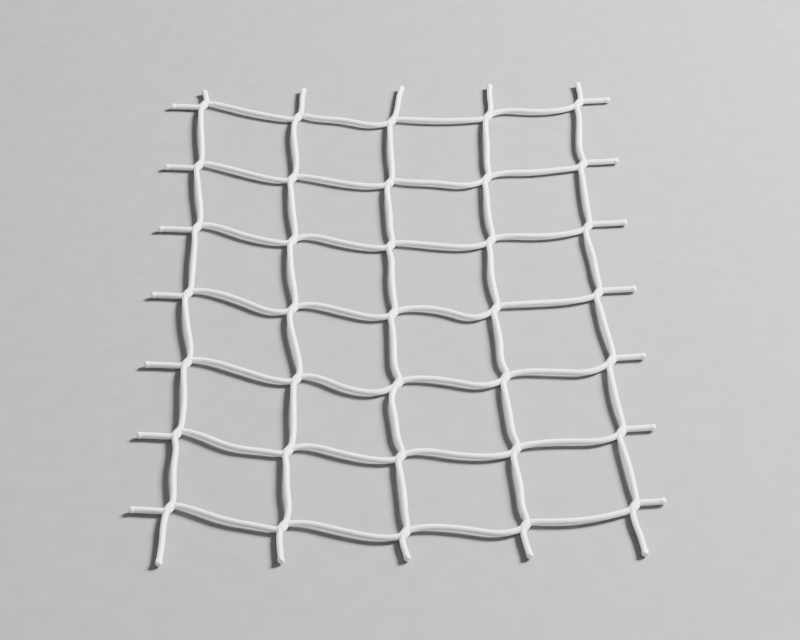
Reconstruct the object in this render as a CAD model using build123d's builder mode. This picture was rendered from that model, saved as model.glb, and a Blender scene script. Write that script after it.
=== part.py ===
from build123d import *
from math import ceil, pi, radians, sqrt, tan
import os

# A rectangular panel of knotless square-mesh tennis netting, lying flat.
# Warp cords run along Y and weft cords along X. Where two cords meet they are
# braided through each other, so each joint is a short thick spot that lies
# slanted across the mesh. Millimetres, origin under the middle of the panel.

# ---- driving dimensions ----
CORD_DIAMETER = 2.4
HALF_WIDTH = 99.0  # middle of the panel to the trimmed side edges
HALF_LENGTH = 150.0  # middle of the panel to the trimmed top and bottom edges

# Each pair of cords shares one round section at a joint, so its area is twice a cord's.
JOINT_DIAMETER = CORD_DIAMETER * sqrt(2)
JOINT_Z = JOINT_DIAMETER / 2  # the joints are what the panel rests on
JOINT_BARREL = 2.2  # length of the joint's cylindrical middle
JOINT_REACH = Vector(1.2, 2.0)  # joint centre to the corner where a cord turns away
ARC_SHARE = 0.45  # how much of the shorter run the arc at a corner may take

TIP_RADIUS = 0.56 * CORD_DIAMETER  # the bead that hot cutting leaves on a cord's end

# ---- how the mesh lies ----
# The joints' X, one row of numbers for each weft cord from the top, left to right.
JOINT_X = (
    (-85.0, -42.0, 0.5, 44.0, 85.5),
    (-85.0, -43.5, -1.0, 41.5, 84.0),
    (-83.5, -42.5, -1.0, 41.5, 83.0),
    (-85.0, -41.5, -0.5, 41.5, 84.0),
    (-83.0, -39.0, 1.0, 43.5, 86.0),
    (-84.5, -41.5, 1.5, 45.5, 86.5),
    (-85.0, -42.5, 2.5, 47.0, 88.0),
)
ROW_Y = (124.0, 77.5, 33.5, -11.5, -54.5, -96.5, -137.5)  # weft cords on the middle line
ROW_SAG = 18.0  # the rows bow down this far between the panel's side edges
ROW_TILT = -0.03  # slope of the rows from left to right

# A bar, which is the cord between two joints, turns at three places. At each it lies this
# far off the line between its joints: a weft bar towards +Y, a warp bar towards +X.
BAR_TURNS = (0.22, 0.5, 0.78)  # the three places, as shares of the bar
WEFT_WAVES = (
    ((1.0, -1.5, -2.5), (-0.5, -1.0, -4.5), (0.0, -2.0, -2.5), (2.5, -2.0, -4.0)),
    ((1.5, -1.0, -3.0), (1.0, -2.0, -3.5), (-0.5, -2.0, -5.5), (2.0, -1.0, -1.5)),
    ((2.5, -1.5, -3.0), (4.0, 0.0, -2.5), (0.5, -2.5, -4.5), (1.0, -2.5, -3.5)),
    ((3.5, 0.5, -4.5), (3.5, 0.0, -3.5), (3.0, 0.5, -6.5), (0.5, -1.5, -3.0)),
    ((3.0, 0.0, -3.0), (1.5, -5.0, -7.0), (2.5, -0.5, -5.0), (1.5, -2.0, -5.5)),
    ((1.0, -3.5, -2.5), (3.5, -0.5, -3.0), (2.5, -1.5, -3.5), (1.5, -0.5, -3.5)),
    ((1.0, -2.0, -2.0), (2.5, -1.0, -3.5), (2.5, 0.0, -4.0), (-0.5, -3.0, -3.0)),
)
WARP_WAVES = (
    (
        (-1.0, 0.0, 1.0), (-0.5, 0.5, 1.5), (0.0, 0.5, 1.0),
        (-1.0, 0.0, 1.5), (-0.5, 1.0, 1.5), (0.5, 0.0, 1.0),
    ),
    (
        (-1.5, 0.0, 1.5), (-0.5, 0.0, 1.0), (-1.0, -0.5, 1.0),
        (-1.5, 0.0, 1.5), (-0.5, 0.5, 1.5), (0.0, 0.5, 2.0),
    ),
    (
        (-0.5, 0.0, 1.0), (-1.0, 0.0, 0.0), (0.5, 0.0, 0.5),
        (-0.5, -0.5, -1.0), (-3.0, -1.5, -1.0), (-0.5, 0.5, 0.5),
    ),
    (
        (-1.0, 0.0, 0.0), (-0.5, -0.5, 0.0), (-0.5, -1.0, 0.0),
        (-0.5, 0.0, -1.0), (-1.0, -0.5, -0.5), (-1.0, 0.0, -0.5),
    ),
    (
        (0.0, -0.5, -1.0), (-0.5, 0.0, 0.5), (-1.0, 0.5, 0.5),
        (-0.5, 0.0, 1.0), (-1.0, -0.5, 0.5), (-0.5, 0.5, 1.0),
    ),
)
# A bar's middle stands this much higher than its joints, and its outer turns a little less.
WEFT_LIFT = 0.4
WARP_LIFT = 0.9
ARCH = (0.7, 1.0, 0.7)

# ---- the trimmed ends ----
WEFT_LEFT_RISE = 1.5  # how far a weft cord's left end lies above its first joint's corner
WEFT_RIGHT_RISE = 0.5
WARP_TOP_LEAN = (-1.5, 1.0, 3.5, 0.5, -0.5)  # how far each warp cord's top end leans right
WARP_BOTTOM_LEAN = (-1.0, 1.0, 2.0, 2.0, 3.0)
LONGEST_TAIL_RUN = 9.0
TAIL_WAVE = 0.3  # how far a tail wanders from side to side


def joint_point(row, column):
    """The middle of the joint between one weft cord and one warp cord."""
    x = JOINT_X[row][column]
    y = ROW_Y[row] + ROW_SAG * (x / HALF_WIDTH) ** 2 + ROW_TILT * x
    return Vector(x, y, JOINT_Z)


def bar_points(start, end, wave, sideways, lift):
    """The turns of one bar between two joints, moved off the straight line and lifted."""
    return [
        start + (end - start) * share + sideways * offset + Vector(0, 0, lift * arch)
        for share, offset, arch in zip(BAR_TURNS, wave, ARCH)
    ]


def tail_points(joint_corner, end):
    """The points of a free end, from the corner at the last joint to the trimmed edge."""
    runs = max(2, ceil((end - joint_corner).length / LONGEST_TAIL_RUN))
    sideways = Vector(0, 0, 1).cross(end - joint_corner).normalized() * TAIL_WAVE
    return [
        joint_corner + (end - joint_corner) * (i / runs) + sideways * (-1) ** i
        for i in range(1, runs)
    ] + [end]


def weft_route(row):
    """The centreline of one weft cord, from the left edge to the right edge."""
    joints = [joint_point(row, column) for column in range(len(JOINT_X[row]))]
    first, last = joints[0] - JOINT_REACH, joints[-1] + JOINT_REACH
    left_end = Vector(-HALF_WIDTH, first.Y + WEFT_LEFT_RISE, JOINT_Z)
    right_end = Vector(HALF_WIDTH, last.Y + WEFT_RIGHT_RISE, JOINT_Z)
    points = tail_points(first, left_end)[::-1]
    for column, joint in enumerate(joints):
        points += [joint - JOINT_REACH, joint + JOINT_REACH]
        if column < len(joints) - 1:
            wave = WEFT_WAVES[row][column]
            points += bar_points(joint, joints[column + 1], wave, Vector(0, 1), WEFT_LIFT)
    return points + tail_points(last, right_end)


def warp_route(column):
    """The centreline of one warp cord, from the top edge to the bottom edge."""
    joints = [joint_point(row, column) for row in range(len(ROW_Y))]
    first, last = joints[0] + JOINT_REACH, joints[-1] - JOINT_REACH
    top_end = Vector(first.X + WARP_TOP_LEAN[column], HALF_LENGTH, JOINT_Z)
    bottom_end = Vector(last.X + WARP_BOTTOM_LEAN[column], -HALF_LENGTH, JOINT_Z)
    points = tail_points(first, top_end)[::-1]
    for row, joint in enumerate(joints):
        points += [joint + JOINT_REACH, joint - JOINT_REACH]
        if row < len(joints) - 1:
            wave = WARP_WAVES[column][row]
            points += bar_points(joint, joints[row + 1], wave, Vector(1, 0), WARP_LIFT)
    return points + tail_points(last, bottom_end)


def bend_radii(points):
    """The largest arc that each corner of a route leaves room for."""
    radii = []
    for before, corner, after in zip(points, points[1:], points[2:]):
        into, out = corner - before, after - corner
        half_turn = radians(into.get_angle(out)) / 2
        radii.append(ARC_SHARE * min(into.length, out.length) / tan(half_turn))
    return radii


def cord_tube(points):
    """A round cord along a route, with a sealed tip at each end."""
    with BuildPart() as tube:
        with BuildLine():
            route = FilletPolyline(*points, radius=bend_radii(points))
        with BuildSketch(Plane(origin=route @ 0, z_dir=route % 0)):
            Circle(CORD_DIAMETER / 2)
        sweep(path=route)
        with Locations(*(Plane(origin=route @ end, z_dir=route % end) for end in (0, 1))):
            Sphere(TIP_RADIUS)
    return tube.part, route.length


def finish_cord(cord, name, length, points):
    """Labels and writes one cord, and prints its length, volume and bends."""
    cord.label = name
    export_step(cord, f"parts/{name}.step")
    radii = bend_radii(points)
    print(
        f"{name} length {length:.1f} volume {cord.volume:.1f}",
        f"section x length {pi * CORD_DIAMETER**2 / 4 * length:.1f}",
        f"bend radii {min(radii):.2f} to {max(radii):.0f}",
    )


os.makedirs("parts", exist_ok=True)

wefts = []
for row in range(len(ROW_Y)):
    points = weft_route(row)
    tube, length = cord_tube(points)
    with BuildPart() as weft_cord:
        add(tube)
    finish_cord(weft_cord.part, f"weft_cord_{row + 1}", length, points)
    wefts.append(weft_cord.part)

half_barrel = JOINT_REACH.normalized() * (JOINT_BARREL / 2)
for column in range(len(JOINT_X[0])):
    points = warp_route(column)
    tube, length = cord_tube(points)
    with BuildPart() as warp_cord:
        add(tube)
        # The braid opens round each weft cord into a thicker joint.
        for row in range(len(ROW_Y)):
            joint = joint_point(row, column)
            with BuildSketch(Plane(origin=joint - half_barrel, z_dir=JOINT_REACH)):
                Circle(JOINT_DIAMETER / 2)
            extrude(amount=JOINT_BARREL)
            ends = (joint - half_barrel, joint + half_barrel)
            with Locations(*(Plane(origin=end, z_dir=JOINT_REACH) for end in ends)):
                Sphere(JOINT_DIAMETER / 2)
        for weft in wefts:
            add(weft, mode=Mode.SUBTRACT)
    finish_cord(warp_cord.part, f"warp_cord_{column + 1}", length, points)
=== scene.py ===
"""The look of a flat panel of knotless square-mesh tennis netting, in metres.

Every cord is a braid of sixteen yarns. Where a warp cord and a weft cord meet, the
yarns of both are braided through each other into one thicker, slanted joint.
"""

from math import ceil, cos, pi, radians, sin, sqrt

import bpy
import numpy as np
from mathutils import Matrix, Vector


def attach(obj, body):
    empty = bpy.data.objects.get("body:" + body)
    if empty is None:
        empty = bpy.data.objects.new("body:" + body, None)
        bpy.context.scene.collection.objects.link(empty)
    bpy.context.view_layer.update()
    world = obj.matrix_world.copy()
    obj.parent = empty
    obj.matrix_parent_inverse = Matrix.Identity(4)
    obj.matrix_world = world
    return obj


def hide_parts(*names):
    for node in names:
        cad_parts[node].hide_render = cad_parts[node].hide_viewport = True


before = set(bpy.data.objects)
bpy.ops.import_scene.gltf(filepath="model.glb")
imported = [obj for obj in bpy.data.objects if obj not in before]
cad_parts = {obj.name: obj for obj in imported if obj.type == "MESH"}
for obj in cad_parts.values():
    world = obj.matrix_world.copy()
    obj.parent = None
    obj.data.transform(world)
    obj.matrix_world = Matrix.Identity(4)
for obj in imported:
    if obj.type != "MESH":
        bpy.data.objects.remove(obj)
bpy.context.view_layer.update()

MM = 0.001

# ---- the cords' routes, the same as in the CAD model, in millimetres ----
CORD_DIAMETER = 2.4
HALF_WIDTH = 99.0
HALF_LENGTH = 150.0
JOINT_DIAMETER = CORD_DIAMETER * sqrt(2)
JOINT_Z = JOINT_DIAMETER / 2
JOINT_REACH = Vector((1.2, 2.0, 0))

# ---- how the mesh lies ----
# The joints' X, one row of numbers for each weft cord from the top, left to right.
JOINT_X = (
    (-85.0, -42.0, 0.5, 44.0, 85.5),
    (-85.0, -43.5, -1.0, 41.5, 84.0),
    (-83.5, -42.5, -1.0, 41.5, 83.0),
    (-85.0, -41.5, -0.5, 41.5, 84.0),
    (-83.0, -39.0, 1.0, 43.5, 86.0),
    (-84.5, -41.5, 1.5, 45.5, 86.5),
    (-85.0, -42.5, 2.5, 47.0, 88.0),
)
ROW_Y = (124.0, 77.5, 33.5, -11.5, -54.5, -96.5, -137.5)  # weft cords on the middle line
ROW_SAG = 18.0  # the rows bow down this far between the panel's side edges
ROW_TILT = -0.03  # slope of the rows from left to right

# A bar, which is the cord between two joints, turns at three places. At each it lies this
# far off the line between its joints: a weft bar towards +Y, a warp bar towards +X.
BAR_TURNS = (0.22, 0.5, 0.78)  # the three places, as shares of the bar
WEFT_WAVES = (
    ((1.0, -1.5, -2.5), (-0.5, -1.0, -4.5), (0.0, -2.0, -2.5), (2.5, -2.0, -4.0)),
    ((1.5, -1.0, -3.0), (1.0, -2.0, -3.5), (-0.5, -2.0, -5.5), (2.0, -1.0, -1.5)),
    ((2.5, -1.5, -3.0), (4.0, 0.0, -2.5), (0.5, -2.5, -4.5), (1.0, -2.5, -3.5)),
    ((3.5, 0.5, -4.5), (3.5, 0.0, -3.5), (3.0, 0.5, -6.5), (0.5, -1.5, -3.0)),
    ((3.0, 0.0, -3.0), (1.5, -5.0, -7.0), (2.5, -0.5, -5.0), (1.5, -2.0, -5.5)),
    ((1.0, -3.5, -2.5), (3.5, -0.5, -3.0), (2.5, -1.5, -3.5), (1.5, -0.5, -3.5)),
    ((1.0, -2.0, -2.0), (2.5, -1.0, -3.5), (2.5, 0.0, -4.0), (-0.5, -3.0, -3.0)),
)
WARP_WAVES = (
    (
        (-1.0, 0.0, 1.0), (-0.5, 0.5, 1.5), (0.0, 0.5, 1.0),
        (-1.0, 0.0, 1.5), (-0.5, 1.0, 1.5), (0.5, 0.0, 1.0),
    ),
    (
        (-1.5, 0.0, 1.5), (-0.5, 0.0, 1.0), (-1.0, -0.5, 1.0),
        (-1.5, 0.0, 1.5), (-0.5, 0.5, 1.5), (0.0, 0.5, 2.0),
    ),
    (
        (-0.5, 0.0, 1.0), (-1.0, 0.0, 0.0), (0.5, 0.0, 0.5),
        (-0.5, -0.5, -1.0), (-3.0, -1.5, -1.0), (-0.5, 0.5, 0.5),
    ),
    (
        (-1.0, 0.0, 0.0), (-0.5, -0.5, 0.0), (-0.5, -1.0, 0.0),
        (-0.5, 0.0, -1.0), (-1.0, -0.5, -0.5), (-1.0, 0.0, -0.5),
    ),
    (
        (0.0, -0.5, -1.0), (-0.5, 0.0, 0.5), (-1.0, 0.5, 0.5),
        (-0.5, 0.0, 1.0), (-1.0, -0.5, 0.5), (-0.5, 0.5, 1.0),
    ),
)
# A bar's middle stands this much higher than its joints, and its outer turns a little less.
WEFT_LIFT = 0.4
WARP_LIFT = 0.9
ARCH = (0.7, 1.0, 0.7)

# ---- the trimmed ends ----
WEFT_LEFT_RISE = 1.5  # how far a weft cord's left end lies above its first joint's corner
WEFT_RIGHT_RISE = 0.5
WARP_TOP_LEAN = (-1.5, 1.0, 3.5, 0.5, -0.5)  # how far each warp cord's top end leans right
WARP_BOTTOM_LEAN = (-1.0, 1.0, 2.0, 2.0, 3.0)
LONGEST_TAIL_RUN = 9.0
TAIL_WAVE = 0.3  # how far a tail wanders from side to side


def joint_point(row, column):
    """The middle of the joint between one weft cord and one warp cord."""
    x = JOINT_X[row][column]
    y = ROW_Y[row] + ROW_SAG * (x / HALF_WIDTH) ** 2 + ROW_TILT * x
    return Vector((x, y, JOINT_Z))


def bar_points(start, end, wave, sideways, lift):
    """The turns of one bar between two joints, moved off the straight line and lifted."""
    return [
        start + (end - start) * share + sideways * offset + Vector((0, 0, lift * arch))
        for share, offset, arch in zip(BAR_TURNS, wave, ARCH)
    ]


def tail_points(joint_corner, end):
    """The points of a free end, from the corner at the last joint to the trimmed edge."""
    runs = max(2, ceil((end - joint_corner).length / LONGEST_TAIL_RUN))
    sideways = Vector((0, 0, 1)).cross(end - joint_corner).normalized() * TAIL_WAVE
    return [
        joint_corner + (end - joint_corner) * (i / runs) + sideways * (-1) ** i
        for i in range(1, runs)
    ] + [end]


def weft_route(row):
    """The centreline of one weft cord, from the left edge to the right edge."""
    joints = [joint_point(row, column) for column in range(len(JOINT_X[row]))]
    first, last = joints[0] - JOINT_REACH, joints[-1] + JOINT_REACH
    left_end = Vector((-HALF_WIDTH, first.y + WEFT_LEFT_RISE, JOINT_Z))
    right_end = Vector((HALF_WIDTH, last.y + WEFT_RIGHT_RISE, JOINT_Z))
    points = tail_points(first, left_end)[::-1]
    for column, joint in enumerate(joints):
        points += [joint - JOINT_REACH, joint + JOINT_REACH]
        if column < len(joints) - 1:
            wave = WEFT_WAVES[row][column]
            points += bar_points(joint, joints[column + 1], wave, Vector((0, 1, 0)), WEFT_LIFT)
    return points + tail_points(last, right_end)


def warp_route(column):
    """The centreline of one warp cord, from the top edge to the bottom edge."""
    joints = [joint_point(row, column) for row in range(len(ROW_Y))]
    first, last = joints[0] + JOINT_REACH, joints[-1] - JOINT_REACH
    top_end = Vector((first.x + WARP_TOP_LEAN[column], HALF_LENGTH, JOINT_Z))
    bottom_end = Vector((last.x + WARP_BOTTOM_LEAN[column], -HALF_LENGTH, JOINT_Z))
    points = tail_points(first, top_end)[::-1]
    for row, joint in enumerate(joints):
        points += [joint + JOINT_REACH, joint - JOINT_REACH]
        if row < len(joints) - 1:
            wave = WARP_WAVES[column][row]
            points += bar_points(joint, joints[row + 1], wave, Vector((1, 0, 0)), WARP_LIFT)
    return points + tail_points(last, bottom_end)


# ---- camera: in front of the panel, looking down on it ----
CAMERA_ELEVATION = radians(40)
CAMERA_DISTANCE = 0.976
CAMERA_TARGET = Vector((0.0024, -0.0154, JOINT_Z * MM))
CAMERA_ROLL = radians(-1.18)
CAMERA_LENS = 108  # on a 36 mm sensor


def make_camera():
    """The view of the panel that the photo has."""
    data = bpy.data.cameras.new("camera")
    data.lens, data.sensor_width = CAMERA_LENS, 36
    data.clip_start, data.clip_end = 0.05, 20
    camera = bpy.data.objects.new("camera", data)
    bpy.context.scene.collection.objects.link(camera)
    back = Vector((0, -cos(CAMERA_ELEVATION), sin(CAMERA_ELEVATION)))
    turn = back.to_track_quat("Z", "Y").to_matrix() @ Matrix.Rotation(CAMERA_ROLL, 3, "Z")
    camera.matrix_world = Matrix.LocRotScale(CAMERA_TARGET + back * CAMERA_DISTANCE, turn, None)
    bpy.context.scene.camera = camera


# ---- the braid ----
YARNS = 8  # in each direction round the cord
LAY = 9.6 * MM  # length of cord in which a yarn goes once round
YARN_THICKNESS = 0.36 * MM
YARN_HALF_WIDTH = 0.30 * MM
WEAVE_HEIGHT = 0.18 * MM  # how far a yarn rises over and dips under the others
JOINT_YARN_THICKNESS = 0.40 * MM
JOINT_YARN_HALF_WIDTH = 0.235 * MM
JOINT_WEAVE_HEIGHT = 0.18 * MM
JOINT_CORE = 1.0 * MM  # half the length in which both cords share one middle line
JOINT_HALF_LENGTH = 3.1 * MM
STEP, JOINT_STEP = 0.36 * MM, 0.18 * MM
YARN_SLOT, TIP_SLOT = 0, 1  # the two materials of a cord's mesh
# A yarn's section is a hexagon with one corner outwards.
SECTION = [(cos(radians(30 + 60 * i)), sin(radians(30 + 60 * i))) for i in range(6)]
CORE_SIDES = 12
CORE_SHARE = 0.62  # the inner yarns' radius, as a share of the cord's
CORE_STRIDE = 3  # the inner yarns need only every third station
WEAVE_PHASE = 0.5  # in crossings, where a yarn's wave over and under the others starts
LINE_STEPS = 32  # points on the smooth line for each turn of a route

# ---- the beads that hot cutting leaves on the cords' ends ----
# Distance past the end of the cord's line and radius, in millimetres.
TIP_PROFILE = (
    (-1.4, 0.94), (-0.9, 1.18), (-0.4, 1.30), (0.15, 1.32), (0.6, 1.18), (0.95, 0.82), (1.0, 0.4),
    (0.9, 0.0),
)
TIP_RINGS = 26
TIP_SIDES = 48
TIP_LOBES = ((3, 0.030), (5, 0.018), (7, 0.010))  # waves round the bead, as shares of its radius
TIP_RIDGE = 0.035  # height of the ridges where the yarns run into the bead
TIP_RIDGE_END = 0.4  # how far past the end of the cord's line the ridges reach
TIP_LEAN = 0.12  # how far a bead may hang off the cord's line
TIP_LEAN_START = -0.6  # distance past the end of the line at which it starts to lean
TIP_POINT = 0.02  # radius of the last ring
TIP_SEED = 7


def smooth_line(name, points):
    """Points along the NURBS curve whose control points are the route's, in metres."""
    curve = bpy.data.curves.new(name, "CURVE")
    curve.dimensions = "3D"
    curve.resolution_u = LINE_STEPS
    spline = curve.splines.new("NURBS")
    spline.points.add(len(points) - 1)
    for target, point in zip(spline.points, points):
        target.co = (*(point * MM), 1)
    spline.order_u = 3
    spline.use_endpoint_u = True
    bare = bpy.data.objects.new(name, curve)
    mesh = bpy.data.meshes.new_from_object(bare)
    line = np.array([v.co for v in mesh.vertices])
    bpy.data.meshes.remove(mesh)
    bpy.data.objects.remove(bare)
    bpy.data.curves.remove(curve)
    return line


def lengths_along(line):
    """The distance from the line's start to each of its points."""
    return np.concatenate([[0], np.cumsum(np.linalg.norm(np.diff(line, axis=0), axis=1))])


def smoothstep(x):
    """0 below 0, 1 above 1, and a smooth rise between."""
    x = np.clip(x, 0, 1)
    return x * x * (3 - 2 * x)


def unit(vectors):
    """The vectors, each scaled to length 1."""
    return vectors / np.maximum(np.linalg.norm(vectors, axis=-1, keepdims=True), 1e-12)


class Cord:
    """A cord's stations: middle line, directions, turns of the braid and nearness to a joint."""

    def __init__(self, line, joints):
        along = lengths_along(line)
        places = [along[np.linalg.norm(line - joint, axis=1).argmin()] for joint in joints]
        at = self.stations(along[-1], places)
        self.length = along[-1]
        self.at = at
        self.middle = np.stack([np.interp(at, along, line[:, k]) for k in range(3)], axis=1)
        away = np.min([np.abs(at - place) for place in places], axis=0)
        self.joint = smoothstep((JOINT_HALF_LENGTH - away) / (JOINT_HALF_LENGTH - JOINT_CORE))
        self.turns = self.braid_turns(at, places)
        self.share_joint_lines(joints, places)
        self.tangent = unit(np.gradient(self.middle, at, axis=0))
        self.side = unit(np.cross([0.0, 0.0, 1.0], self.tangent))
        self.up = np.cross(self.tangent, self.side)

    @staticmethod
    def stations(length, places):
        """Distances along the cord, closer together at the joints."""
        at, here = [], 0.0
        while here < length:
            at.append(here)
            near = min(abs(here - place) for place in places) < JOINT_HALF_LENGTH
            here += JOINT_STEP if near else STEP
        return np.array(at + [length])

    @staticmethod
    def braid_turns(at, places):
        """Turns of the braid, with whole yarns at each joint, so that both cords fall in step."""
        marks, turns = [], []
        total, before = round(places[0] / LAY * YARNS) / YARNS, places[0]
        for place in places:
            total += round((place - before) / LAY * YARNS) / YARNS
            marks += [place - JOINT_HALF_LENGTH, place + JOINT_HALF_LENGTH]
            turns += [total - JOINT_HALF_LENGTH / LAY, total + JOINT_HALF_LENGTH / LAY]
            before = place
        marks = [marks[0] - 1] + marks + [marks[-1] + 1]
        turns = [turns[0] - 1 / LAY] + turns + [turns[-1] + 1 / LAY]
        return np.interp(at, marks, turns)

    def share_joint_lines(self, joints, places):
        """Draws the middle line onto the joint's own slanted line, which both cords share."""
        slant = np.array(JOINT_REACH.normalized())
        for joint, place in zip(joints, places):
            offset = (self.at - place)[:, None] * slant
            near = np.abs(self.at - place) < JOINT_HALF_LENGTH
            pull = (self.joint * near)[:, None]
            self.middle = self.middle * (1 - pull) + (joint + offset) * pull

    def mixed(self, plain, at_joint):
        """A measure at every station, which changes from its plain value to that at a joint."""
        return plain + (at_joint - plain) * self.joint


def tube(middle, side, up, widths, heights, section):
    """Vertices and walls of a tube. widths and heights scale the section at each station."""
    rings = [
        middle + side * (widths * across)[:, None] + up * (heights * high)[:, None]
        for across, high in section
    ]
    count, sides = len(middle), len(section)
    return np.stack(rings, axis=1).reshape(-1, 3), ring_walls(count, sides), count, sides


def ring_walls(count, sides, forwards=True):
    """Four-sided faces between rings of vertices, facing out where the rings go forwards."""
    first = np.arange(count - 1)[:, None] * sides
    corner, after = np.arange(sides), (np.arange(sides) + 1) % sides
    walls = np.stack(
        [first + corner, first + after, first + sides + after, first + sides + corner], axis=-1
    ).reshape(-1, 4)
    return walls if forwards else walls[:, ::-1]


def yarn(cord, number, direction, slot_shift):
    """One yarn of a cord: a flattened tube that winds round it, over and under the others."""
    slot = number / YARNS + slot_shift / (2 * YARNS)
    angle = 2 * pi * (slot + direction * cord.turns)
    crossings = 2 * YARNS * cord.turns
    wave = direction * np.cos(pi / 2 * (2 * number + direction * crossings - WEAVE_PHASE))
    joint_number = 2 * number + slot_shift
    joint_turn = 2 * joint_number + direction * 2 * crossings - WEAVE_PHASE
    joint_wave = direction * np.cos(pi / 2 * joint_turn)
    thickness = cord.mixed(YARN_THICKNESS, JOINT_YARN_THICKNESS)
    half_width = cord.mixed(YARN_HALF_WIDTH, JOINT_YARN_HALF_WIDTH)
    height = cord.mixed(WEAVE_HEIGHT, JOINT_WEAVE_HEIGHT)
    outside = cord.mixed(CORD_DIAMETER, JOINT_DIAMETER) / 2 * MM
    mixed_wave = cord.mixed(wave, joint_wave)
    radius = outside - height - thickness / 2 + height * mixed_wave
    outward = cord.side * np.cos(angle)[:, None] + cord.up * np.sin(angle)[:, None]
    middle = cord.middle + outward * radius[:, None]
    heading = unit(np.gradient(middle, axis=0))
    across = unit(np.cross(heading, outward))
    out = np.cross(across, heading)
    vertices, faces, count, sides = tube(middle, across, out, half_width, thickness / 2, SECTION)
    place = np.empty((count, sides, 3))
    place[..., 0] = np.array([s[0] for s in SECTION])
    place[..., 1] = cord.at[:, None] / MM
    # The third value is how high the yarn lies in the weave; the yarn material turns low places
    # into painted shade.
    place[..., 2] = (mixed_wave[:, None] + 1) / 2
    return vertices, faces, place.reshape(-1, 3), (count, sides)


def core(cord):
    """The inner yarns, which close the braid's middle."""
    radius = cord.mixed(CORD_DIAMETER, JOINT_DIAMETER) / 2 * MM * CORE_SHARE
    section = [
        (cos(2 * pi * i / CORE_SIDES), sin(2 * pi * i / CORE_SIDES)) for i in range(CORE_SIDES)
    ]
    every = slice(None, None, CORE_STRIDE)
    vertices, faces, count, sides = tube(
        cord.middle[every], cord.side[every], cord.up[every], radius[every], radius[every], section
    )
    place = np.zeros((len(vertices), 3))
    place[:, 1] = np.repeat(cord.at[every] / MM, sides)
    return vertices, faces, place, (count, sides)


def end_caps(start, count, sides):
    """The two end faces of a tube whose vertices begin at start."""
    ring = list(range(start, start + sides))
    last = start + (count - 1) * sides
    return [ring[::-1], list(range(last, last + sides))]


def softened(values):
    """Each value mixed with its neighbours, which rounds a profile's corners."""
    return np.convolve(np.pad(values, 1, "edge"), (0.25, 0.5, 0.25), "valid")


def sealed_tip(cord, station, outward, chance):
    """The molten bead on one end of a cord: uneven, with the yarns' ridges running into it."""
    spread = np.linspace(0, len(TIP_PROFILE) - 1, TIP_RINGS)
    distance, radius = (
        softened(np.interp(spread, range(len(TIP_PROFILE)), column)) for column in zip(*TIP_PROFILE)
    )
    radius[-1] = TIP_POINT
    angle = 2 * pi * np.arange(TIP_SIDES) / TIP_SIDES
    swell = 1 + sum(
        size * np.cos(waves * angle + chance.uniform(0, 2 * pi)) for waves, size in TIP_LOBES
    )
    fade = smoothstep(TIP_RIDGE_END - distance)[:, None]
    ridges = TIP_RIDGE * np.cos(2 * YARNS * angle)[None] * fade
    reach = radius[:, None] * (swell[None] + ridges) * MM
    lean = chance.uniform(-TIP_LEAN, TIP_LEAN, 2) * MM
    side, up, axis = cord.side[station], cord.up[station], cord.tangent[station] * outward
    middle = cord.middle[station] + axis * (distance * MM)[:, None]
    leaning = smoothstep(distance - TIP_LEAN_START)[:, None]
    middle += leaning * (side * lean[0] + up * lean[1])
    rings = (
        middle[:, None]
        + side * (reach * np.cos(angle))[..., None]
        + up * (reach * np.sin(angle))[..., None]
    )
    vertices = rings.reshape(-1, 3)
    place = np.zeros((len(vertices), 3))
    place[:, 1] = np.repeat(distance, TIP_SIDES)
    return vertices, ring_walls(TIP_RINGS, TIP_SIDES, outward > 0), place, (TIP_RINGS, TIP_SIDES)


def cord_mesh(name, cord, slot_shift, chance):
    """One cord's whole mesh: its yarns, its inner bundle and its two sealed tips."""
    yarns = [yarn(cord, n, d, slot_shift) for d in (1, -1) for n in range(YARNS)]
    tips = [sealed_tip(cord, 0, -1, chance), sealed_tip(cord, -1, 1, chance)]
    pieces = [(piece, YARN_SLOT) for piece in [*yarns, core(cord)]]
    pieces += [(tip, TIP_SLOT) for tip in tips]
    vertices, walls, places, caps, slots, cap_slots, start = [], [], [], [], [], [], 0
    for (points, faces, place, (count, sides)), slot in pieces:
        vertices.append(points)
        walls.append(faces + start)
        places.append(place)
        slots.append(np.full(len(faces), slot))
        caps += end_caps(start, count, sides)
        cap_slots += [slot, slot]
        start += len(points)
    mesh = bpy.data.meshes.new(name)
    fill_mesh(mesh, np.concatenate(vertices), np.concatenate(walls), caps)
    face_slots = np.concatenate([*slots, cap_slots]).astype(np.int32)
    mesh.polygons.foreach_set("material_index", face_slots)
    attribute = mesh.attributes.new("yarn_place", "FLOAT_VECTOR", "POINT")
    attribute.data.foreach_set("vector", np.concatenate(places).astype(np.float32).ravel())
    mesh.shade_smooth()
    return mesh


def fill_mesh(mesh, vertices, quads, others):
    """Puts vertices, four-sided faces and a few other faces into a mesh."""
    loops = np.concatenate([quads.ravel(), *[np.array(face) for face in others]])
    sizes = np.concatenate([np.full(len(quads), 4), [len(face) for face in others]])
    starts = np.concatenate([[0], np.cumsum(sizes)[:-1]])
    mesh.vertices.add(len(vertices))
    mesh.vertices.foreach_set("co", vertices.astype(np.float32).ravel())
    mesh.loops.add(len(loops))
    mesh.loops.foreach_set("vertex_index", loops.astype(np.int32))
    mesh.polygons.add(len(sizes))
    mesh.polygons.foreach_set("loop_start", starts.astype(np.int32))
    mesh.polygons.foreach_set("loop_total", sizes.astype(np.int32))
    mesh.update(calc_edges=True)
    mesh.validate()


# ---- materials ----
def node(tree, kind, **inputs):
    """A new node with the given inputs, which are values or other nodes' outputs."""
    made = tree.nodes.new(kind)
    for name, value in inputs.items():
        socket = made.inputs[name.replace("_", " ")]
        if isinstance(value, bpy.types.NodeSocket):
            tree.links.new(value, socket)
        else:
            socket.default_value = value
    return made


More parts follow.
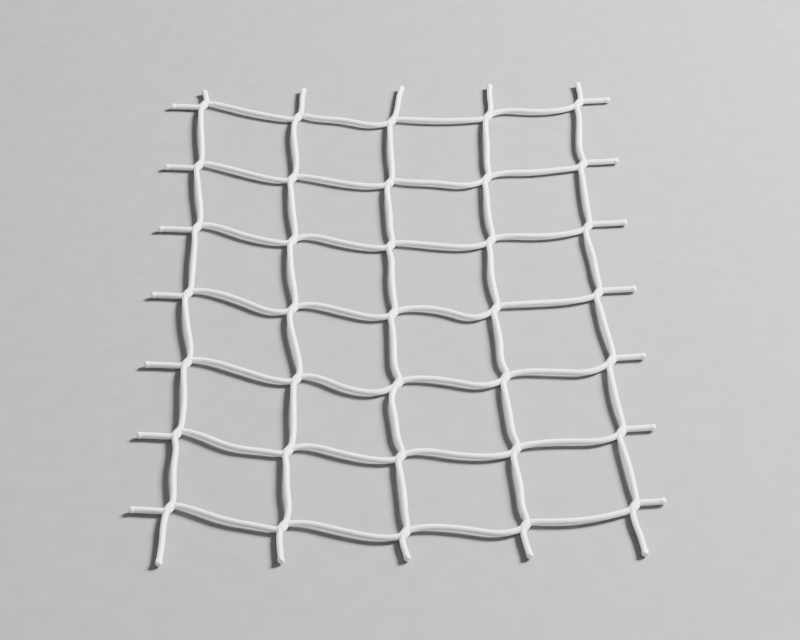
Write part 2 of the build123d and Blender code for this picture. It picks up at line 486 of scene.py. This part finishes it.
def ramp(tree, factor, stops):
    """The colour that a factor picks between stops of position and colour."""
    made = tree.nodes.new("ShaderNodeValToRGB")
    elements = made.color_ramp.elements
    for _ in range(len(stops) - 2):
        elements.new(0.5)
    for element, (position, colour) in zip(elements, stops):
        element.position, element.color = position, (*colour, 1)
    tree.links.new(factor, made.inputs["Fac"])
    return made.outputs["Color"]


def node_math(tree, operation, a, b):
    """The output of a math node. a and b are numbers or other nodes' outputs."""
    made = tree.nodes.new("ShaderNodeMath")
    made.operation = operation
    for socket, value in zip(made.inputs, (a, b)):
        if isinstance(value, bpy.types.NodeSocket):
            tree.links.new(value, socket)
        else:
            socket.default_value = value
    return made.outputs["Value"]


def multiply(tree, a, b):
    """One colour multiplied by another."""
    made = tree.nodes.new("ShaderNodeMix")
    made.data_type, made.blend_type = "RGBA", "MULTIPLY"
    made.inputs["Factor"].default_value = 1.0
    colours = [s for s in made.inputs if s.type == "RGBA"]
    for socket, value in zip(colours, (a, b)):
        tree.links.new(value, socket)
    return next(s for s in made.outputs if s.type == "RGBA")


def yarn_material(name):
    """White multifilament yarn: fine filaments along each yarn, with painted shade darkening it
    down between the yarns.
    """
    material = bpy.data.materials.new(name)
    material.use_nodes = True
    tree = material.node_tree
    shader = tree.nodes["Principled BSDF"]
    place = tree.nodes.new("ShaderNodeAttribute")
    place.attribute_name = "yarn_place"
    parts = node(tree, "ShaderNodeSeparateXYZ", Vector=place.outputs["Vector"])
    across, along, height = (parts.outputs[axis] for axis in "XYZ")
    coordinates = tree.nodes.new("ShaderNodeTexCoord")
    stretched = node(
        tree, "ShaderNodeCombineXYZ",
        X=node_math(tree, "MULTIPLY", across, 7.0),
        Y=node_math(tree, "MULTIPLY", along, 0.8),
        Z=height,
    )
    filaments = node(
        tree, "ShaderNodeTexNoise",
        Vector=stretched.outputs["Vector"], Scale=1.0, Detail=3.0, Roughness=0.65,
    ).outputs["Fac"]
    soil = node(
        tree, "ShaderNodeTexNoise",
        Vector=coordinates.outputs["Object"], Scale=55.0, Detail=4.0, Roughness=0.55,
    ).outputs["Fac"]
    # Painted shade: a mask that is low at the yarns' sides (crown) and where they dip under other
    # yarns (height), for the shade in the grooves between yarns.
    crown = node_math(tree, "SUBTRACT", 1.0, node_math(tree, "MULTIPLY", across, across))
    painted_shade_mask = node_math(
        tree, "ADD",
        node_math(tree, "MULTIPLY", height, 0.55),
        node_math(tree, "MULTIPLY", crown, 0.45),
    )
    body = ramp(tree, soil, [(0.3, (0.84, 0.835, 0.82)), (0.7, (0.94, 0.94, 0.93))])
    # Painted shade: this ramp darkens the base colour where the mask is low, deepest down in the
    # grooves.
    shade = ramp(
        tree, painted_shade_mask,
        [(0.05, (0.26, 0.26, 0.29)), (0.40, (0.82, 0.82, 0.84)), (0.75, (1.0, 1.0, 0.995))],
    )
    lines = ramp(tree, filaments, [(0.32, (0.78, 0.78, 0.79)), (0.6, (1.0, 1.0, 1.0))])
    colour = multiply(tree, multiply(tree, body, shade), lines)
    tree.links.new(colour, shader.inputs["Base Color"])
    rough = node(tree, "ShaderNodeMapRange", Value=filaments, To_Min=0.40, To_Max=0.64)
    tree.links.new(rough.outputs["Result"], shader.inputs["Roughness"])
    bump = node(tree, "ShaderNodeBump", Height=filaments, Strength=0.8, Distance=0.0001)
    tree.links.new(bump.outputs["Normal"], shader.inputs["Normal"])
    shader.inputs["Sheen Weight"].default_value = 0.08
    shader.inputs["Sheen Roughness"].default_value = 0.4
    shader.inputs["Specular IOR Level"].default_value = 0.45
    return material


def tip_material():
    """Yarn melted solid: smoother and duller white than the yarn, with scorched streaks."""
    material = bpy.data.materials.new("sealed_tip")
    material.use_nodes = True
    tree = material.node_tree
    shader = tree.nodes["Principled BSDF"]
    coordinates = tree.nodes.new("ShaderNodeTexCoord")
    clouds = node(
        tree, "ShaderNodeTexNoise",
        Vector=coordinates.outputs["Object"], Scale=900.0, Detail=3.0, Roughness=0.6,
    ).outputs["Fac"]
    pits = node(
        tree, "ShaderNodeTexNoise",
        Vector=coordinates.outputs["Object"], Scale=2600.0, Detail=2.0, Roughness=0.5,
    ).outputs["Fac"]
    colour = ramp(
        tree, clouds,
        [(0.30, (0.55, 0.49, 0.38)), (0.45, (0.76, 0.74, 0.68)), (0.7, (0.86, 0.855, 0.83))],
    )
    tree.links.new(colour, shader.inputs["Base Color"])
    rough = node(tree, "ShaderNodeMapRange", Value=clouds, To_Min=0.18, To_Max=0.42)
    tree.links.new(rough.outputs["Result"], shader.inputs["Roughness"])
    bump = node(tree, "ShaderNodeBump", Height=pits, Strength=0.4, Distance=0.00008)
    tree.links.new(bump.outputs["Normal"], shader.inputs["Normal"])
    shader.inputs["Specular IOR Level"].default_value = 0.5
    return material


# ---- making the cords ----
make_camera()
warp_yarn, weft_yarn = yarn_material("warp_yarn"), yarn_material("weft_yarn")
melted = tip_material()
chance = np.random.default_rng(TIP_SEED)


def add_cord(name, route, joints, slot_shift, material):
    """Makes one cord, attaches it to the root body and hides the CAD cord that it stands for."""
    line = smooth_line(name, route)
    cord = Cord(line, [np.array(joint) * MM for joint in joints])
    piece = bpy.data.objects.new(name + "_braid", cord_mesh(name, cord, slot_shift, chance))
    bpy.context.scene.collection.objects.link(piece)
    piece.data.materials.append(material)
    piece.data.materials.append(melted)
    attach(piece, "root")
    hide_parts(name)


rows, columns = range(len(ROW_Y)), range(len(JOINT_X[0]))
for row in rows:
    joints = [joint_point(row, column) for column in columns]
    add_cord(f"weft_cord_{row + 1}", weft_route(row), joints, 0, weft_yarn)
for column in columns:
    joints = [joint_point(row, column) for row in rows][::-1]
    route = warp_route(column)[::-1]  # the same way through the joints as the weft
    add_cord(f"warp_cord_{column + 1}", route, joints, 1, warp_yarn)


# ---- floor and light ----
def floor_material():
    material = bpy.data.materials.new("studio_floor")
    material.use_nodes = True
    tree = material.node_tree
    shader = tree.nodes["Principled BSDF"]
    grain = node(tree, "ShaderNodeTexNoise", Scale=900.0, Detail=2.0)
    greys = [(0.3, (0.155, 0.155, 0.16)), (0.7, (0.175, 0.175, 0.18))]
    tree.links.new(ramp(tree, grain.outputs["Fac"], greys), shader.inputs["Base Color"])
    shader.inputs["Roughness"].default_value = 0.9
    return material


def make_floor():
    bpy.ops.mesh.primitive_plane_add(size=8)
    floor = bpy.context.object
    floor.name = "studio_floor"
    floor.data.materials.append(floor_material())


def area_light(name, place, size, power, colour):
    data = bpy.data.lights.new(name, "AREA")
    data.shape, data.size, data.energy, data.color = "DISK", size, power, colour
    light = bpy.data.objects.new(name, data)
    bpy.context.scene.collection.objects.link(light)
    light.location = place
    light.rotation_euler = (-Vector(place)).to_track_quat("-Z", "Y").to_euler()


def make_world():
    world = bpy.data.worlds.new("studio")
    bpy.context.scene.world = world
    world.use_nodes = True
    background = world.node_tree.nodes["Background"]
    background.inputs["Color"].default_value = (0.92, 0.95, 1.0, 1)
    background.inputs["Strength"].default_value = 0.30


make_floor()
make_world()
area_light("key", place=(0.98, 0.38, 0.80), size=0.45, power=155, colour=(1.0, 0.975, 0.94))
area_light("fill", place=(0.1, -0.8, 1.3), size=1.4, power=9, colour=(0.93, 0.96, 1.0))
